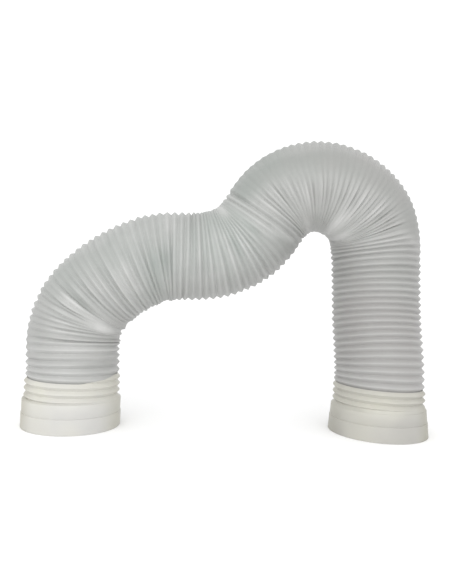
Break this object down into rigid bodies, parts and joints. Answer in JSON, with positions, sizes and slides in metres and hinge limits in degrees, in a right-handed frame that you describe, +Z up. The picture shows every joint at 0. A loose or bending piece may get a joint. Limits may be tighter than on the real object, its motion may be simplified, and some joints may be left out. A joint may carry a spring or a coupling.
{
  "type": "portable air conditioner hose",
  "caption": "Flexible round exhaust duct of spiral-pleated plastic film, bent into an arch that stands on a screw-on connector cuff at each end.",
  "frame": {"origin": "middle of the whole part's bounding box, at the level of the floor that both cuffs stand on", "axes": "+Z up, +X from the straight-skirted left cuff to the flared right cuff along the arch's span, +Y away from the viewer in the picture"},
  "size_m": [0.6826, 0.1924, 0.4879],
  "materials": {
    "pleated_film": "satin, pale grey, slightly translucent",
    "cuff_plastic": "satin, cream white"
  },
  "bodies": {
    "root": {"hose": "pleated_film", "left_cuff": "cuff_plastic", "right_cuff": "cuff_plastic"}
  },
  "joints": []
}
